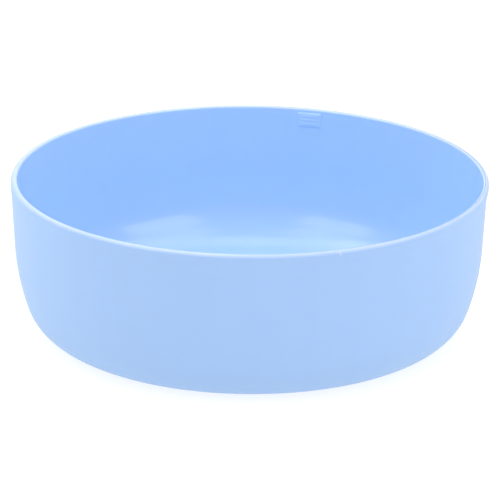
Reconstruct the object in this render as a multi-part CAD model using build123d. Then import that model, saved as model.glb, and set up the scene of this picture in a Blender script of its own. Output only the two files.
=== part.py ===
"""Round ward bowl, one injection moulding in polypropylene.

The bowl stands on z = 0 with its axis on +Z. The far side of the inner wall, at +Y, carries
a small raised pad. Lengths are in millimetres and angles in degrees.
"""
from build123d import *
from math import atan2, cos, degrees, radians, sin, sqrt, tan
import os

# Overall size
RIM_DIAMETER = 150.0
HEIGHT = 50.0

# Walls
WALL = 1.75                 # side wall, measured square to it
FLOOR = 2.0
DRAFT = 2.9                 # lean of the upper wall away from vertical
STRAIGHT_DEPTH = 21.5       # from the rim down to where the flank starts to curve
FLANK_RADIUS = 70.0         # long curve from the upper wall towards the base
OUTER_CORNER_RADIUS = 14.0
INNER_CORNER_RADIUS = 18.0

# Rim band, thicker on the outside, which fades into the wall below it
RIM_BAND_PROUD = 0.22
RIM_BAND_LAND = 2.2         # height at full thickness
RIM_BAND_FADE = 2.4         # height over which it falls back to the wall
RIM_BAND_BLEND = 12.0       # radius of the two soft bends of the fade
RIM_OUTER_EDGE = 1.0
RIM_INNER_EDGE = 0.65

# Foot ring and the shallow recess inside it
FOOT_RECESS = 0.8
FOOT_WIDTH = 3.5
FOOT_EDGE = 0.3
GATE_DIAMETER = 3.2         # stub left by the injection gate, in the middle of the recess
GATE_HEIGHT = 0.4

# Raised pad high on the inner wall, with three plain bars on it
PAD_ANGLE = 74.5           # round the bowl from +X towards +Y
PAD_WIDTH = 8.2
PAD_HEIGHT = 5.0
PAD_DROP = 1.25             # from the rim down to the pad's top edge
PAD_PROUD = 0.3
PAD_EDGE = 0.2
BAR_COUNT = 3
BAR_WIDTH = 6.0
BAR_HEIGHT = 0.5
BAR_PROUD = 0.06

# Rim corners before they are rounded. The finished rim is RIM_DIAMETER across at its widest,
# a little below the corner, because the wall leans outwards
draft_slope = tan(radians(DRAFT))
outer_rim_radius = RIM_DIAMETER / 2 + RIM_OUTER_EDGE * (draft_slope + 1 / cos(radians(DRAFT)) - 1)
wall_rim_radius = outer_rim_radius - RIM_BAND_PROUD
inner_rim_radius = wall_rim_radius - WALL / cos(radians(DRAFT))

# Where the rim band stops being full thickness, and where it has faded into the wall
land_end = (outer_rim_radius - RIM_BAND_LAND * draft_slope, HEIGHT - RIM_BAND_LAND)
fade_drop = RIM_BAND_LAND + RIM_BAND_FADE
fade_end = (wall_rim_radius - fade_drop * draft_slope, HEIGHT - fade_drop)

floor_top = FOOT_RECESS + FLOOR
flank_start = (wall_rim_radius - STRAIGHT_DEPTH * draft_slope, HEIGHT - STRAIGHT_DEPTH)
flank_centre = (
    flank_start[0] - FLANK_RADIUS * cos(radians(DRAFT)),
    flank_start[1] + FLANK_RADIUS * sin(radians(DRAFT)),
)


def half_profile(inset, bottom, corner_radius):
    """Side of the bowl, from the rim down to the base, and the radius where the base goes flat.

    The upper wall is straight, the flank is one arc and the corner another, each tangent to
    the next. inset is the distance inwards from the outer wall, square to it.
    """
    flank_radius = FLANK_RADIUS - inset
    rim = (wall_rim_radius - inset / cos(radians(DRAFT)), HEIGHT)
    start = (flank_start[0] - inset * cos(radians(DRAFT)), flank_start[1] + inset * sin(radians(DRAFT)))
    drop = flank_centre[1] - (bottom + corner_radius)
    reach = sqrt((flank_radius - corner_radius) ** 2 - drop**2)
    corner_slope = degrees(atan2(drop, reach))
    down_wall = (-sin(radians(DRAFT)), -cos(radians(DRAFT)))
    wall_line = Line(rim, start)
    flank = JernArc(start, down_wall, flank_radius, DRAFT - corner_slope)
    corner = JernArc(flank @ 1, flank % 1, corner_radius, corner_slope - 90)
    return [wall_line, flank, corner], flank_centre[0] + reach


def turned(side, top):
    """Solid of revolution about Z, closed from the side's two ends to the axis."""
    low_end = side[-1] @ 1
    edges = [
        Line((0, top), side[0] @ 0),
        *side,
        Line(low_end, (0, low_end.Y)),
        Line((0, low_end.Y), (0, top)),
    ]
    return revolve(Plane.XZ * make_face(edges), Axis.Z)


def edges_at(part, radius, height):
    """Circular edges of the part at one radius and height."""
    return part.edges().filter_by(
        lambda edge: edge.geom_type == GeomType.CIRCLE
        and abs(edge.radius - radius) < 0.01
        and abs(edge.arc_center.Z - height) < 0.01
    )


def make_shell():
    """Bowl with its rim band, foot ring, recess and gate stub."""
    (wall_line, *low_side), foot_radius = half_profile(0.0, 0.0, OUTER_CORNER_RADIUS)
    inner_side, _ = half_profile(WALL, floor_top, INNER_CORNER_RADIUS)
    band_corners = [(outer_rim_radius, HEIGHT), land_end, fade_end, wall_line @ 1]
    band_side = FilletPolyline(*band_corners, radius=RIM_BAND_BLEND)
    shell = turned([*band_side.edges(), *low_side], HEIGHT)
    shell -= turned(inner_side, HEIGHT)

    recess_radius = foot_radius - FOOT_WIDTH
    shell -= Cylinder(recess_radius, FOOT_RECESS, align=(Align.CENTER, Align.CENTER, Align.MIN))
    gate = Cylinder(GATE_DIAMETER / 2, GATE_HEIGHT, align=(Align.CENTER, Align.CENTER, Align.MAX))
    shell += Pos(0, 0, FOOT_RECESS) * gate

    shell = fillet(edges_at(shell, outer_rim_radius, HEIGHT), RIM_OUTER_EDGE)
    shell = fillet(edges_at(shell, inner_rim_radius, HEIGHT), RIM_INNER_EDGE)
    shell = fillet(edges_at(shell, recess_radius, 0.0), FOOT_EDGE)
    return shell


def make_pad():
    """Raised pad with its bars, drawn with its top edge at the origin and standing out along -X."""
    depth = PAD_PROUD + WALL / 2
    pad = Box(depth, PAD_WIDTH, PAD_HEIGHT, align=(Align.MIN, Align.CENTER, Align.MAX))
    face_edges = pad.faces().sort_by(Axis.X)[0].edges()
    pad = fillet(face_edges, PAD_EDGE)
    spacing = PAD_HEIGHT / (BAR_COUNT + 1)
    for index in range(BAR_COUNT):
        bar = Box(2 * BAR_PROUD, BAR_WIDTH, BAR_HEIGHT)
        pad += Pos(0, 0, -spacing * (index + 1)) * bar
    return Pos(-PAD_PROUD, 0, 0) * pad


def seat_on_wall(piece):
    """Carry a piece from the origin to its place on the inner wall, leaning with the draft."""
    wall_radius = inner_rim_radius - PAD_DROP * draft_slope
    return Rot(0, 0, PAD_ANGLE) * Pos(wall_radius, 0, HEIGHT - PAD_DROP) * Rot(0, DRAFT, 0) * piece


def make_bowl():
    """The whole moulding."""
    return make_shell() + seat_on_wall(make_pad())


os.makedirs("parts", exist_ok=True)
bowl = make_bowl()
export_step(bowl, "parts/bowl.step")
print("bowl solids:", len(bowl.solids()), "volume mm3:", round(bowl.volume, 1))
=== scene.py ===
"""Round ward bowl in moulded pale blue polypropylene, on an opal sheet lit from below.

The bowl is one closed mesh, turned about Z in the frame's own metres. It takes its overall
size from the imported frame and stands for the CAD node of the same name.
"""
from collections import namedtuple
from math import atan2, ceil, cos, exp, pi, radians, sin, sqrt, tan

import bpy
from bpy.props import FloatProperty, FloatVectorProperty, IntProperty, PointerProperty
from mathutils import Matrix, Vector


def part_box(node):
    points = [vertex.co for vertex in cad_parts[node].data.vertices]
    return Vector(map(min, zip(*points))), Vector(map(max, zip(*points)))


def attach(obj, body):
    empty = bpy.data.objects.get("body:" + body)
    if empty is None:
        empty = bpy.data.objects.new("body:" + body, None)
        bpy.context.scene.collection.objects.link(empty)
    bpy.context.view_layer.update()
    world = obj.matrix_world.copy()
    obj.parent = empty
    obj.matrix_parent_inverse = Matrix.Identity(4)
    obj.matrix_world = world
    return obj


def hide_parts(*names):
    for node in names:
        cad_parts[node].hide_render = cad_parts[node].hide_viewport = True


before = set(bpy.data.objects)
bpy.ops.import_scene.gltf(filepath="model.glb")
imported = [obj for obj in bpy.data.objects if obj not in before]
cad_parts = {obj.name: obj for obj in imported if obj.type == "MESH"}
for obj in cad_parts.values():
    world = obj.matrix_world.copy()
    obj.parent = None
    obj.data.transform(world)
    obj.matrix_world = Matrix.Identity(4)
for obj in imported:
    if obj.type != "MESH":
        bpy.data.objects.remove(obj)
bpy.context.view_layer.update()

bl_info = {
    "name": "Ward Bowl",
    "version": (1, 0, 0),
    "blender": (4, 5, 0),
    "location": "3D View > Sidebar > Ward Bowl",
    "description": "Makes a round moulded ward bowl with its finishes and a studio stage",
    "category": "Object",
}

NODE = "bowl"
BODY = "root"

high_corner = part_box(NODE)[1]


def mm(value):
    """Millimetres in metres."""
    return value / 1000.0


def linear(hex_colour):
    """Linear RGBA of an sRGB hex colour."""
    channels = [int(hex_colour[i : i + 2], 16) / 255 for i in (1, 3, 5)]
    return [c / 12.92 if c <= 0.04045 else ((c + 0.055) / 1.055) ** 2.4 for c in channels] + [1.0]


def length(name, description, default):
    """A length property in metres."""
    return FloatProperty(
        name=name,
        description=description,
        default=default,
        subtype="DISTANCE",
        unit="LENGTH",
        precision=5,
    )


def angle(name, description, default):
    """An angle property, its default given in degrees."""
    return FloatProperty(
        name=name,
        description=description,
        default=radians(default),
        subtype="ANGLE",
        unit="ROTATION",
    )


def colour(name, description, hex_colour):
    """A colour property with an sRGB hex default."""
    return FloatVectorProperty(
        name=name,
        description=description,
        default=linear(hex_colour),
        subtype="COLOR",
        size=4,
        min=0.0,
        max=1.0,
    )


def watts(name, default):
    """Power of a softbox."""
    description = f"{name} softbox in watts"
    return FloatProperty(name=name, description=description, default=default, min=0.0)


# --------------------------------------------------------------------------------------
# Sizes and colours
# --------------------------------------------------------------------------------------


class BowlShape(bpy.types.PropertyGroup):
    """Sizes of the moulding."""

    rim_radius: length("Rim radius", "Outer radius of the rim", high_corner.x)
    height: length("Height", "From the foot to the rim", high_corner.z)
    wall: length("Wall", "Thickness of the side wall", mm(1.75))
    floor: length("Floor", "Thickness of the floor", mm(2.0))
    draft: angle("Draft", "Lean of the upper wall", 2.9)
    straight_depth: length("Straight depth", "From the rim to the start of the flank", mm(21.5))
    flank_radius: length("Flank radius", "Long curve of the lower wall", mm(70))
    outer_corner: length("Outer corner", "Radius outside, between flank and foot", mm(14))
    inner_corner: length("Inner corner", "Radius inside, between flank and floor", mm(18))
    band_proud: length("Band proud", "How far the rim band stands out", mm(0.22))
    band_land: length("Band land", "Height of the band at full thickness", mm(2.2))
    band_fade: length("Band fade", "Height over which it falls back to the wall", mm(2.4))
    band_blend: length("Band blend", "Radius of the two soft bends of the fade", mm(12))
    outer_edge: length("Outer rim edge", "Radius of the rim's outer edge", mm(1.0))
    inner_edge: length("Inner rim edge", "Radius of the rim's inner edge", mm(0.65))
    cavity_shift: length("Cavity shift", "Outer wall's offset from the rim band along X", mm(-0.22))
    core_shift: length("Core shift", "Inner wall's offset from the rim band along X", mm(0.1))
    foot_recess: length("Foot recess", "Depth of the recess under the base", mm(0.8))
    foot_width: length("Foot width", "Width of the foot ring", mm(3.5))
    foot_edge: length("Foot edge", "Radius of the foot ring's inner edge", mm(0.3))
    gate_radius: length("Gate radius", "Radius of the gate stub", mm(1.6))
    gate_height: length("Gate height", "Height of the gate stub", mm(0.4))
    ovality: length("Ovality", "How far the wall strays from round after cooling", mm(0.06))


class RaisedPad(bpy.types.PropertyGroup):
    """The small raised pad inside the wall, and the bars on it."""

    bearing: angle("Bearing", "Place round the bowl, from +X towards +Y", 74.5)
    width: length("Width", "Size round the wall", mm(8.2))
    height: length("Height", "Size down the wall", mm(5.0))
    drop: length("Drop", "From the rim to the pad's top edge", mm(1.25))
    proud: length("Proud", "How far the pad stands out", mm(0.3))
    flank: length("Flank", "Width of the pad's sloping side", mm(0.3))
    edge: length("Edge", "Radius of the pad's edge", mm(0.2))
    bars: IntProperty(name="Bars", description="Plain bars on the pad", default=3, min=1)
    bar_width: length("Bar width", "Size round the wall", mm(6.0))
    bar_height: length("Bar height", "Size down the wall", mm(0.5))
    bar_proud: length("Bar proud", "How far a bar stands out", mm(0.06))
    bar_flank: length("Bar flank", "Width of a bar's sloping side", mm(0.11))


class RimFlash(bpy.types.PropertyGroup):
    """Trace of flash left on the rim's outer edge."""

    bearing: angle("Bearing", "Middle of the ridge, from +X towards +Y", -71.4)
    length: length("Length", "Size round the rim", mm(6.2))
    proud: length("Proud", "How far the ridge stands out", mm(0.38))
    tooth_offset: length("Tooth offset", "From the ridge's middle to its tooth", mm(3.2))
    tooth_width: length("Tooth width", "Width of the tooth", mm(0.9))
    tooth_drop: length("Tooth drop", "How far the tooth hangs down the band", mm(1.3))


class Plastic(bpy.types.PropertyGroup):
    """Colours and finish of the polypropylene."""

    body: colour("Body", "Pigmented polypropylene against the polished core", "#AACCF3")
    # The outside's copy of the body colour, made darker as painted shade.
    satin_body_painted_shade: colour("Satin body", "The same, greyed by the eroded grain", "#9EBFE8")
    # Paler tint: a painted highlight on the rim, and the colour of the trace of flash and of the
    # rubbed foot.
    scuff_and_rim_highlight: colour("Scuff", "Whitened by rubbing, on the rim and the foot", "#BFCAF0")
    flow_marks: FloatProperty(
        name="Flow marks", description="How much paler the pigment is along the flow", default=0.02
    )
    polished_roughness: FloatProperty(
        name="Polished roughness", description="Inside, against the polished core", default=0.14
    )
    satin_roughness: FloatProperty(
        name="Satin roughness", description="Outside, against the eroded cavity", default=0.5
    )
    ior: FloatProperty(name="IOR", description="Refractive index of polypropylene", default=1.49)
    translucency: FloatProperty(
        name="Translucency", description="Share of light that spreads inside the wall", default=0.25
    )


class Studio(bpy.types.PropertyGroup):
    """Camera, lights and floor."""

    distance: length("Camera distance", "From the lens to the middle of the bowl", 1.1516)
    elevation: angle("Camera elevation", "Above the horizon", 19.6)
    roll: angle("Camera roll", "Anticlockwise turn of the camera", 0.533)
    lens: FloatProperty(name="Lens", description="Focal length in millimetres", default=262.1)
    aim_across: length("Aim across", "Aim point's offset from the axis", mm(0.23))
    aim_up: length("Aim up", "Aim point's offset above mid height", mm(0.23))
    floor_size: length("Floor size", "Side of the square floor", 12.0)
    floor_paint: colour("Floor", "Opal acrylic sheet, matt", "#9A9A9A")
    floor_glow: FloatProperty(
        name="Floor glow", description="Light that comes up through the floor", default=0.76
    )
    floor_gap: length("Floor gap", "From the foot down to the sheet", mm(0.02))
    ambient: FloatProperty(name="Ambient", description="Strength of the white room", default=0.52)
    low_left: watts("Low left", 0.3)
    low_right: watts("Low right", 0.75)
    front_left: watts("Front left", 2.4)
    front_right: watts("Front right", 2.6)
    top_left: watts("Top left", 1.7)
    top_right: watts("Top right", 1.6)
    high_left: watts("High left", 1.7)
    high_right: watts("High right", 0.6)
    overhead: watts("Overhead", 1.5)
    back_high: watts("Back high", 2.4)
    rear: watts("Rear", 1.4)
    rear_left: watts("Rear left", 0.3)


# --------------------------------------------------------------------------------------
# The bowl's mesh
# --------------------------------------------------------------------------------------

# A circle of the mesh: its radius and height, the offset of its middle along X, and the part of
# the mould that shaped it: the core "inside", the stripper ring "band" or the cavity "outside"
Row = namedtuple("Row", "radius height offset zone")
POLISHED, SATIN = 0, 1
HOLD = mm(0.15)             # spacing of the lines that keep a flat face flat beside an edge
FLASH_REACH = mm(0.9)       # how far the trace of flash spreads over the rim's top
FLASH_FALL = mm(0.35)       # depth over which its ridge dies away
RIM_HIGHLIGHT_DEPTH = mm(0.8)        # how far down the painted highlight tint on the rim reaches
FOOT_WEAR = mm(0.4)         # how far up the rubbing on the foot reaches


def arc(centre, radius, start, end, steps):
    """Points on an arc, both ends included. Angles are in radians from outwards to upwards."""
    turns = [start + (end - start) * i / steps for i in range(steps + 1)]
    return [(centre[0] + radius * cos(t), centre[1] + radius * sin(t)) for t in turns]


def run(start, end, steps):
    """Points on a straight line, both ends included."""
    shares = [i / steps for i in range(steps + 1)]
    return [tuple(a + (b - a) * s for a, b in zip(start, end)) for s in shares]


def bend(before, corner, after, radius, steps):
    """Points round a shallow corner between two straight lines, both ends included."""
    before, corner, after = Vector(before), Vector(corner), Vector(after)
    turn = (corner - before).angle(after - corner)
    setback = radius * tan(turn / 2)
    start = corner + (before - corner).normalized() * setback
    end = corner + (after - corner).normalized() * setback
    shares = [i / steps for i in range(steps + 1)]
    return [tuple(start.lerp(corner, s).lerp(corner.lerp(end, s), s)) for s in shares]


def sharp_rim_radius(shape):
    """Radius of the rim's outer corner before it is rounded."""
    return shape.rim_radius + shape.outer_edge * (tan(shape.draft) + 1 / cos(shape.draft) - 1)


class Side:
    """Inner or outer side: straight wall, flank and corner, each tangent to the next."""

    def __init__(self, shape, inset, bottom, corner):
        lean = shape.draft
        body_radius = sharp_rim_radius(shape) - shape.band_proud
        straight = shape.straight_depth
        joint = (body_radius - straight * tan(lean), shape.height - straight)
        self.lean = lean
        self.bottom = bottom
        self.corner = corner
        self.flank = shape.flank_radius - inset
        self.flank_centre = (
            joint[0] - shape.flank_radius * cos(lean),
            joint[1] + shape.flank_radius * sin(lean),
        )
        self.joint = (joint[0] - inset * cos(lean), joint[1] + inset * sin(lean))
        self.rim = (body_radius - inset / cos(lean), shape.height)
        drop = self.flank_centre[1] - (bottom + corner)
        reach = sqrt((self.flank - corner) ** 2 - drop**2)
        self.slope = atan2(drop, reach)
        self.flat_radius = self.flank_centre[0] + reach

    def at_depth(self, depth):
        """Point on the straight wall, at a depth below the rim."""
        return (self.rim[0] - depth * tan(self.lean), self.rim[1] - depth)

    def corner_arc(self, steps):
        """The corner, from the flat upwards."""
        centre = (self.flat_radius, self.bottom + self.corner)
        return arc(centre, self.corner, -pi / 2, -self.slope, steps)

    def flank_arc(self, steps):
        """The flank, from the corner up to the straight wall."""
        return arc(self.flank_centre, self.flank, -self.slope, -self.lean, steps)


def block_stations(low, high, flank, edge):
    """Lines that a raised block's two sides need, for a block from low to high."""
    rise = [-HOLD, 0.0, flank, flank + 0.3 * edge, flank + edge, flank + edge + HOLD]
    return [low + r for r in rise] + [high - r for r in rise]


def block_height(place, low, high, flank, edge):
    """Height, from 0 to 1, of a raised block with sloping sides and a rounded edge."""
    inside = min(place - low, high - place)
    if inside <= 0:
        return 0.0
    if inside < flank:
        return 0.7 * inside / flank
    if inside < flank + edge:
        return 0.7 + 0.3 * sin((inside - flank) / edge * pi / 2)
    return 1.0


def bar_spans(pad):
    """Top and bottom of each bar, as depths below the rim."""
    pitch = pad.height / (pad.bars + 1)
    middles = [pad.drop + pitch * (i + 1) for i in range(pad.bars)]
    return [(m - pad.bar_height / 2, m + pad.bar_height / 2) for m in middles]


def pad_relief(pad, across, depth):
    """How far the inner wall stands proud at a place near the pad."""
    across_pad = block_height(across, -pad.width / 2, pad.width / 2, pad.flank, pad.edge)
    down_pad = block_height(depth, pad.drop, pad.drop + pad.height, pad.flank, pad.edge)
    relief = pad.proud * across_pad * down_pad
    bevel = pad.bar_flank
    across_bar = block_height(across, -pad.bar_width / 2, pad.bar_width / 2, bevel, bevel)
    for top, bottom in bar_spans(pad):
        relief += pad.bar_proud * across_bar * block_height(depth, top, bottom, bevel, bevel)
    return relief


def merge_stations(regular, special, gap):
    """Sorted stations: every special one, and the regular ones that are not crowded by them."""
    kept = sorted(special)
    thinned = [kept[0]]
    for station in kept[1:]:
        if station - thinned[-1] > gap / 20:
            thinned.append(station)
    free = [r for r in regular if all(abs(r - s) > gap for s in thinned)]
    return sorted(thinned + free)


def pad_depths(shape, pad):
    """Depths of the rows on the inner straight wall, denser at the pad."""
    special = block_stations(pad.drop, pad.drop + pad.height, pad.flank, pad.edge)
    bevel = pad.bar_flank
    for top, bottom in bar_spans(pad):
        special += [top, top + bevel, top + 2 * bevel, bottom - 2 * bevel, bottom - bevel, bottom]
    special += [shape.inner_edge + HOLD, shape.inner_edge + 2 * HOLD]
    count = ceil(shape.straight_depth / mm(1.5))
    regular = [shape.straight_depth * (i + 1) / count for i in range(count)]
    return [d for d in merge_stations(regular, special, mm(0.3)) if d < shape.straight_depth]


def inner_rows(shape, pad):
    """Rows from the middle of the floor, up the inner wall and onto the rim."""
    side = Side(shape, shape.wall, shape.foot_recess + shape.floor, shape.inner_corner)
    shares = (0.04, 0.12, 0.25, 0.4, 0.55, 0.7, 0.82, 0.92)
    floor_radii = [side.flat_radius * share for share in shares]
    points = [(0.0, side.bottom)]
    points += [(radius, side.bottom) for radius in floor_radii]
    points += side.corner_arc(18)
    points += side.flank_arc(18)[1:]
    points += [side.at_depth(depth) for depth in reversed(pad_depths(shape, pad))]
    edge = shape.inner_edge
    centre_radius = side.rim[0] + edge / cos(side.lean) - edge * tan(side.lean)
    edge_arc = arc((centre_radius, shape.height - edge), edge, pi - side.lean, pi / 2, 5)
    points += edge_arc
    points.append((edge_arc[-1][0] + HOLD, shape.height))
    return [Row(radius, height, shape.core_shift, "inside") for radius, height in points]


def band_rows(shape):
    """Rows over the rim's land, round its outer edge and down the band until it has faded."""
    edge, lean = shape.outer_edge, shape.draft
    wall = Side(shape, 0.0, 0.0, shape.outer_corner)
    land = shape.band_land
    land_end = (sharp_rim_radius(shape) - land * tan(lean), shape.height - land)
    fade_end = wall.at_depth(land + shape.band_fade)
    middle = (shape.rim_radius - edge, shape.height - edge)
    outer_edge = arc(middle, edge, pi / 2, -lean, 12)
    land_bend = bend(outer_edge[-1], land_end, fade_end, shape.band_blend, 4)
    fade_bend = bend(land_end, fade_end, wall.joint, shape.band_blend, 4)
    points = [(middle[0] - HOLD, shape.height), *outer_edge]
    points += land_bend + run(land_bend[-1], fade_bend[0], 4)[1:-1] + fade_bend
    return [Row(r, h, shape.cavity_shift * cavity_share(shape, h), "band") for r, h in points]


def cavity_share(shape, height):
    """0 on the band's land, easing to 1 where the band has faded into the outer wall."""
    depth = shape.height - height
    share = (depth - shape.outer_edge) / (shape.band_land + shape.band_fade - shape.outer_edge)
    share = min(max(share, 0.0), 1.0)
    return share * share * (3 - 2 * share)


def outer_rows(shape):
    """Rows down the outer wall, round the corner, over the foot and across the underside."""
    side = Side(shape, 0.0, 0.0, shape.outer_corner)
    count = 12
    first = shape.band_land + shape.band_fade + mm(1)
    depths = [first + (shape.straight_depth - first) * i / count for i in range(count)]
    points = [side.at_depth(depth) for depth in depths]
    points += list(reversed(side.flank_arc(20)))
    points += list(reversed(side.corner_arc(20)))[1:]

    recess_radius = side.flat_radius - shape.foot_width
    edge = shape.foot_edge
    ceiling = shape.foot_recess
    points += run((side.flat_radius - HOLD, 0.0), (recess_radius + edge + HOLD, 0.0), 4)
    points += arc((recess_radius + edge, edge), edge, -pi / 2, -pi, 4)
    points.append((recess_radius, ceiling - edge))
    points += arc((recess_radius - edge, ceiling - edge), edge, 0.0, pi / 2, 4)[1:]

    gate_radius, gate_low = shape.gate_radius, shape.foot_recess - shape.gate_height
    bead = shape.gate_height / 4
    points += [(recess_radius - edge - HOLD, ceiling)]
    points += [(recess_radius * share, ceiling) for share in (0.9, 0.75, 0.55, 0.38, 0.22, 0.1)]
    points += arc((gate_radius + bead, ceiling - bead), bead, pi / 2, pi, 3)
    points += arc((gate_radius - bead, gate_low + bead), bead, 0.0, -pi / 2, 3)
    points += [(gate_radius * 0.45, gate_low), (0.0, gate_low)]
    return [Row(radius, height, shape.cavity_shift, "outside") for radius, height in points]


def bearings(shape, pad, flash):
    """Angles of the columns, denser at the pad and at the trace of flash."""
    inner_radius = shape.rim_radius - shape.band_proud - shape.wall
    special = block_stations(-pad.width / 2, pad.width / 2, pad.flank, pad.edge)
    bevel = pad.bar_flank
    half_bar = pad.bar_width / 2
    special += [side * (half_bar - k * bevel) for side in (-1, 1) for k in range(3)]
    special = [pad.bearing + across / inner_radius for across in special]
    fine = mm(0.12)
    half_span = flash.length / 2 + mm(0.6)
    count = round(2 * half_span / fine)
    special += [
        flash.bearing + (-half_span + 2 * half_span * i / count) / shape.rim_radius
        for i in range(count + 1)
    ]
    columns = 288
    regular = [-pi + 2 * pi * i / columns for i in range(columns)]
    return merge_stations(regular, special, mm(0.35) / inner_radius)


def smooth_hump(place, half_width):
    """1 in the middle, easing to 0 at the half width."""
    share = min(abs(place) / half_width, 1.0)
    return (1 - share * share) ** 2


def flash_relief(shape, flash, row, bearing):
    """Outward and upward push of the trace of flash on the rim's outer edge, and its share."""
    along = (bearing - flash.bearing) * shape.rim_radius
    depth = shape.height - row.height
    inward = shape.rim_radius - row.radius
    too_low = depth > flash.tooth_drop + mm(0.4)
    if abs(along) > flash.length or too_low or inward > FLASH_REACH:
        return 0.0, 0.0, 0.0
    ridge = smooth_hump(along, flash.length / 2) * exp(-((depth / FLASH_FALL) ** 2))
    ridge *= 0.75 + 0.25 * sin(along / mm(0.32)) * sin(along / mm(0.9) + 1.0)
    tooth = smooth_hump(along - flash.tooth_offset, flash.tooth_width / 2 + mm(0.1))
    tooth *= smooth_hump(depth - flash.tooth_drop / 2, flash.tooth_drop / 2 + mm(0.3))
    outward = flash.proud * ridge + flash.proud * 1.1 * tooth
    upward = 0.35 * flash.proud * ridge * max(0.0, 1 - inward / FLASH_REACH)
    return outward, upward, min(1.0, ridge + tooth)


def wear(shape, flash, row, bearing):
    """Share of the paler tint: a painted highlight on the rim, paler colour on the trace of flash,
    and rubbing on the foot.
    """
    depth = shape.height - row.height
    rim = min(1.0, max(0.0, 1.25 - depth / RIM_HIGHLIGHT_DEPTH))
    foot = min(1.0, max(0.0, 1.0 - row.height / FOOT_WEAR)) * 0.5
    patches = 0.8 + 0.2 * sin(5 * bearing + 0.7) * sin(13 * bearing + 2.0)
    trace = flash_relief(shape, flash, row, bearing)[2] if row.zone == "band" else 0.0
    return max(rim * patches * 0.7, foot * patches, trace)


def stray(shape, bearing, height):
    """How far the wall strays from round: slightly oval and three-lobed, growing to the rim."""
    lobes = 0.6 * cos(2 * (bearing - 0.5)) + 0.4 * cos(3 * bearing + 1.1)
    return shape.ovality * lobes * (height / shape.height) ** 2


def place_vertex(shape, pad, flash, row, bearing):
    """Where a row crosses a column."""
    radius = row.radius
    height = row.height
    depth = shape.height - height
    if row.zone == "inside" and depth < shape.straight_depth and depth > shape.inner_edge:
        relief = pad_relief(pad, (bearing - pad.bearing) * radius, depth)
        radius -= relief * cos(shape.draft)
        height += relief * sin(shape.draft)
    if row.zone == "band":
        outward, upward, _ = flash_relief(shape, flash, row, bearing)
        radius += outward
        height += upward
    if row.radius > 0:
        radius += stray(shape, bearing, height)
    return Vector((row.offset + radius * cos(bearing), radius * sin(bearing), height))


def bowl_mesh(shape, pad, flash):
    """The closed mesh of the moulding."""
    rows = inner_rows(shape, pad) + band_rows(shape) + outer_rows(shape)
    columns = bearings(shape, pad, flash)
    width = len(columns)
    first, last = rows[0], rows[-1]
    vertices = [place_vertex(shape, pad, flash, row, b) for row in rows[1:-1] for b in columns]
    top_pole = len(vertices)
    vertices.append(Vector((first.offset, 0.0, first.height)))
    vertices.append(Vector((last.offset, 0.0, last.height)))
    faces = []
    finishes = []
    ring_zones = [row.zone for row in rows[1:-1]]
    for j in range(width):
        k = (j + 1) % width
        faces.append((top_pole, j, k))
        finishes.append(POLISHED)
    for i in range(len(ring_zones) - 1):
        satin = ring_zones[i] != "inside" and ring_zones[i + 1] != "inside"
        for j in range(width):
            k = (j + 1) % width
            near, far = i * width, (i + 1) * width
            faces.append((near + j, far + j, far + k, near + k))
            finishes.append(SATIN if satin else POLISHED)
    last_ring = (len(ring_zones) - 1) * width
    for j in range(width):
        k = (j + 1) % width
        faces.append((top_pole + 1, last_ring + k, last_ring + j))
        finishes.append(SATIN)
    mesh = bpy.data.meshes.new("ward_bowl")
    mesh.from_pydata(vertices, [], faces)
    mesh.polygons.foreach_set("material_index", finishes)
    rubbed_and_highlit = [wear(shape, flash, row, b) for row in rows[1:-1] for b in columns] + [0.0, 0.0]
    mesh.attributes.new("wear", "FLOAT", "POINT").data.foreach_set("value", rubbed_and_highlit)
    mesh.shade_smooth()
    mesh.validate()
    mesh.update()
    return mesh


# --------------------------------------------------------------------------------------
# Materials
# --------------------------------------------------------------------------------------


def add_node(tree, kind, settings=None, values=None, feeds=None):
    """Add a node with its settings, its sockets' values and the links that feed it."""
    node = tree.nodes.new(kind)
    for name, value in (settings or {}).items():
        setattr(node, name, value)
    for socket, value in (values or {}).items():
        node.inputs[socket].default_value = value
    for socket, source in (feeds or {}).items():
        tree.links.new(source, node.inputs[socket])
    return node


def new_material(name):
    """Empty node material and its output node."""
    material = bpy.data.materials.new(name)
    material.use_nodes = True
    material.node_tree.nodes.clear()
    return material, material.node_tree


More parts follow.
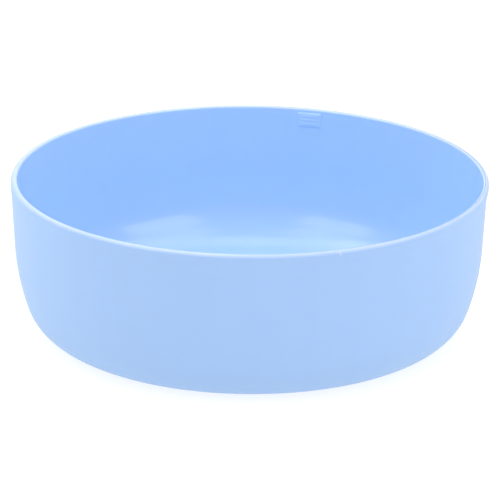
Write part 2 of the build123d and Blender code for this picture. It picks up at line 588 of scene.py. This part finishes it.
def moulded_polypropylene(name, plastic, body, roughness, grain_height):
    """Pigmented polypropylene as it leaves the mould.

    It looks soft and a little waxy: light enters the wall and spreads, and the surface keeps
    the finish of the steel it froze against.
    """
    material, tree = new_material(name)
    thinner = [min(1.0, c + plastic.flow_marks) for c in body[:3]] + [1.0]
    place = add_node(tree, "ShaderNodeTexCoord").outputs["Object"]
    parts = add_node(tree, "ShaderNodeSeparateXYZ", feeds={"Vector": place})

    # Flow marks run out from the gate: long across the flow front, about 6 mm apart round it.
    bearing = add_node(
        tree,
        "ShaderNodeMath",
        {"operation": "ARCTAN2"},
        feeds={0: parts.outputs["Y"], 1: parts.outputs["X"]},
    )
    flow_place = add_node(
        tree,
        "ShaderNodeCombineXYZ",
        feeds={"X": bearing.outputs[0], "Y": parts.outputs["Z"]},
    )
    flow = add_node(
        tree,
        "ShaderNodeTexNoise",
        {"noise_dimensions": "2D"},
        {"Scale": 12.0, "Detail": 3.0, "Roughness": 0.45},
        {"Vector": flow_place.outputs[0]},
    )
    clouds = add_node(
        tree,
        "ShaderNodeTexNoise",
        None,
        {"Scale": 1 / mm(35), "Detail": 2.0},
        {"Vector": place},
    )
    blend = add_node(
        tree,
        "ShaderNodeMath",
        {"operation": "MULTIPLY"},
        feeds={0: flow.outputs["Fac"], 1: clouds.outputs["Fac"]},
    )
    pigment = add_node(
        tree,
        "ShaderNodeMix",
        {"data_type": "RGBA"},
        {6: body, 7: thinner},
        {0: blend.outputs[0]},
    )
    # The paler tint on the rim is a painted highlight; the trace of flash and the rubbed foot get
    # the same paler colour.
    wear_and_highlight_mark = add_node(tree, "ShaderNodeAttribute", {"attribute_name": "wear"})
    rubbed_and_highlit = add_node(
        tree,
        "ShaderNodeMix",
        {"data_type": "RGBA"},
        {7: plastic.scuff_and_rim_highlight},
        {0: wear_and_highlight_mark.outputs["Fac"], 6: pigment.outputs[2]},
    )
    shader = add_node(
        tree,
        "ShaderNodeBsdfPrincipled",
        None,
        {
            "Roughness": roughness,
            "IOR": plastic.ior,
            "Subsurface Weight": plastic.translucency,
            "Subsurface Radius": (1.0, 1.3, 2.0),
            "Subsurface Scale": mm(1.2),
        },
        {"Base Color": rubbed_and_highlit.outputs[2]},
    )

    # Uneven sinking of the wall as it cools, in swells about 18 mm apart.
    swell = add_node(
        tree,
        "ShaderNodeTexNoise",
        None,
        {"Scale": 1 / mm(18), "Detail": 1.0},
        {"Vector": place},
    )
    swell_bump = add_node(
        tree,
        "ShaderNodeBump",
        None,
        {"Strength": 0.35, "Distance": mm(0.06)},
        {"Height": swell.outputs["Fac"]},
    )
    # Grain of the mould steel. The real grain is about 0.1 mm; it is drawn at 0.35 mm to show.
    grain = add_node(
        tree,
        "ShaderNodeTexNoise",
        None,
        {"Scale": 1 / mm(0.35), "Detail": 2.0, "Roughness": 0.6},
        {"Vector": place},
    )
    grain_bump = add_node(
        tree,
        "ShaderNodeBump",
        None,
        {"Strength": 0.5, "Distance": grain_height},
        {"Height": grain.outputs["Fac"], "Normal": swell_bump.outputs["Normal"]},
    )
    tree.links.new(grain_bump.outputs["Normal"], shader.inputs["Normal"])
    add_node(tree, "ShaderNodeOutputMaterial", feeds={"Surface": shader.outputs["BSDF"]})
    return material


def polished_polypropylene(plastic):
    """Inside and rim land, against a polished core: clear soft-edged reflections."""
    name = "polypropylene_polished_moulding"
    body, roughness = plastic.body, plastic.polished_roughness
    return moulded_polypropylene(name, plastic, body, roughness, mm(0.002))


def satin_polypropylene(plastic):
    """Outside, against a spark-eroded cavity: an even sheen with no clear reflections."""
    name = "polypropylene_satin_moulding"
    # The outside takes the darker copy of the body colour: painted shade.
    body, roughness = plastic.satin_body_painted_shade, plastic.satin_roughness
    return moulded_polypropylene(name, plastic, body, roughness, mm(0.006))


def opal_sheet(studio):
    """Opal acrylic sheet lit from below, which leaves next to no shadow."""
    material, tree = new_material("acrylic_opal_cast_sheet")
    shader = add_node(
        tree,
        "ShaderNodeBsdfPrincipled",
        None,
        {
            "Base Color": studio.floor_paint,
            "Roughness": 0.9,
            "Specular IOR Level": 0.2,
            "Emission Color": (1.0, 1.0, 1.0, 1.0),
            "Emission Strength": studio.floor_glow,
        },
    )
    add_node(tree, "ShaderNodeOutputMaterial", feeds={"Surface": shader.outputs["BSDF"]})
    return material


# --------------------------------------------------------------------------------------
# Operators
# --------------------------------------------------------------------------------------


def add_object(name, data):
    """Object in the scene's own collection."""
    made = bpy.data.objects.new(name, data)
    bpy.context.scene.collection.objects.link(made)
    return made


class WARDBOWL_OT_make_bowl(bpy.types.Operator):
    """Make the moulded bowl in place of the CAD node"""

    bl_idname = "wardbowl.make_bowl"
    bl_label = "Make the bowl"

    def execute(self, context):
        settings = context.scene
        mesh = bowl_mesh(settings.bowl_shape, settings.raised_pad, settings.rim_flash)
        mesh.materials.append(polished_polypropylene(settings.plastic))
        mesh.materials.append(satin_polypropylene(settings.plastic))
        bowl = add_object("ward_bowl", mesh)
        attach(bowl, BODY)
        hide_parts(NODE)
        return {"FINISHED"}


def softbox(name, watts, size, place, target):
    """Rectangular area light aimed at a point."""
    light = bpy.data.lights.new(name, "AREA")
    light.shape = "RECTANGLE"
    light.size, light.size_y = size
    light.energy = watts
    lamp = add_object(name, light)
    lamp.location = place
    lamp.rotation_mode = "QUATERNION"
    lamp.rotation_quaternion = (Vector(target) - Vector(place)).to_track_quat("-Z", "Y")
    return lamp


def around(bearing, elevation, distance):
    """Place round the bowl: bearing 0 is the camera's side and grows to the camera's right."""
    flat = distance * cos(elevation)
    return Vector((flat * sin(bearing), -flat * cos(bearing), distance * sin(elevation)))


def make_camera(studio, middle):
    """Camera on the bowl's front, level with the studio's settings."""
    data = bpy.data.cameras.new("camera")
    data.lens = studio.lens
    data.sensor_width = 36.0
    data.clip_end = 50.0
    camera = add_object("camera", data)
    place = middle + around(0.0, studio.elevation, studio.distance)
    aim = middle + Vector((studio.aim_across, 0.0, studio.aim_up))
    forward = (aim - place).normalized()
    right = forward.cross(Vector((0, 0, 1))).normalized()
    up = right.cross(forward)
    turn = Matrix((right, up, -forward)).transposed().to_4x4()
    camera.matrix_world = Matrix.Translation(place) @ turn @ Matrix.Rotation(studio.roll, 4, "Z")
    return camera


def make_floor(studio):
    """Square sheet, a hair below the foot so that the two faces don't coincide."""
    half = studio.floor_size / 2
    low = -studio.floor_gap
    mesh = bpy.data.meshes.new("studio_floor")
    corners = [(-half, -half, low), (half, -half, low), (half, half, low), (-half, half, low)]
    mesh.from_pydata(corners, [], [(0, 1, 2, 3)])
    mesh.materials.append(opal_sheet(studio))
    return add_object("studio_floor", mesh)


def make_room(studio):
    """Even white surroundings."""
    world = bpy.data.worlds.new("white_room")
    world.use_nodes = True
    background = world.node_tree.nodes["Background"]
    background.inputs["Color"].default_value = (1.0, 1.0, 1.0, 1.0)
    background.inputs["Strength"].default_value = studio.ambient
    bpy.context.scene.world = world


# Name, bearing and elevation in degrees, distance, and width and height, in metres
SOFTBOXES = [
    ("low_left", -52, 7, 1.1, (0.95, 0.26)),
    ("low_right", 52, 7, 1.1, (0.95, 0.26)),
    ("front_left", -55, 36, 1.1, (0.76, 0.46)),
    ("front_right", 55, 36, 1.1, (0.76, 0.46)),
    ("top_left", -70, 60, 1.1, (0.7, 0.45)),
    ("top_right", 70, 60, 1.1, (0.7, 0.45)),
    ("high_left", -110, 50, 1.0, (0.5, 0.6)),
    ("high_right", 110, 50, 1.0, (0.5, 0.6)),
    ("overhead", 180, 86, 0.97, (0.8, 0.34)),
    ("back_high", 180, 56, 1.0, (0.9, 0.7)),
    ("rear", -170, 17, 1.3, (1.2, 0.7)),
    ("rear_left", -128, 17, 1.2, (0.5, 0.7)),
]


class WARDBOWL_OT_make_stage(bpy.types.Operator):
    """Set the floor, the soft lights and the camera"""

    bl_idname = "wardbowl.make_stage"
    bl_label = "Set the stage"

    def execute(self, context):
        studio = context.scene.studio
        middle = Vector((0.0, 0.0, context.scene.bowl_shape.height / 2))
        make_floor(studio)
        make_room(studio)
        for name, bearing, elevation, distance, size in SOFTBOXES:
            place = middle + around(radians(bearing), radians(elevation), distance)
            softbox(name, getattr(studio, name), size, place, middle)
        context.scene.camera = make_camera(studio, middle)
        context.scene.view_settings.view_transform = "Standard"
        return {"FINISHED"}


class WARDBOWL_PT_sidebar(bpy.types.Panel):
    """Ward bowl tools"""

    bl_idname = "WARDBOWL_PT_sidebar"
    bl_label = "Ward Bowl"
    bl_space_type = "VIEW_3D"
    bl_region_type = "UI"
    bl_category = "Ward Bowl"

    def draw(self, context):
        layout = self.layout
        layout.operator(WARDBOWL_OT_make_bowl.bl_idname)
        layout.operator(WARDBOWL_OT_make_stage.bl_idname)
        for holder in GROUPS:
            group = getattr(context.scene, holder)
            box = layout.box()
            box.label(text=holder.replace("_", " ").capitalize())
            for name in group.__annotations__:
                box.prop(group, name)


GROUPS = {
    "bowl_shape": BowlShape,
    "raised_pad": RaisedPad,
    "rim_flash": RimFlash,
    "plastic": Plastic,
    "studio": Studio,
}
CLASSES = [*GROUPS.values(), WARDBOWL_OT_make_bowl, WARDBOWL_OT_make_stage, WARDBOWL_PT_sidebar]


def register():
    for cls in CLASSES:
        bpy.utils.register_class(cls)
    for holder, group in GROUPS.items():
        setattr(bpy.types.Scene, holder, PointerProperty(type=group))


def unregister():
    for holder in GROUPS:
        delattr(bpy.types.Scene, holder)
    for cls in reversed(CLASSES):
        bpy.utils.unregister_class(cls)


def main():
    register()
    bpy.ops.wardbowl.make_bowl()
    bpy.ops.wardbowl.make_stage()


if __name__ == "__main__":
    main()
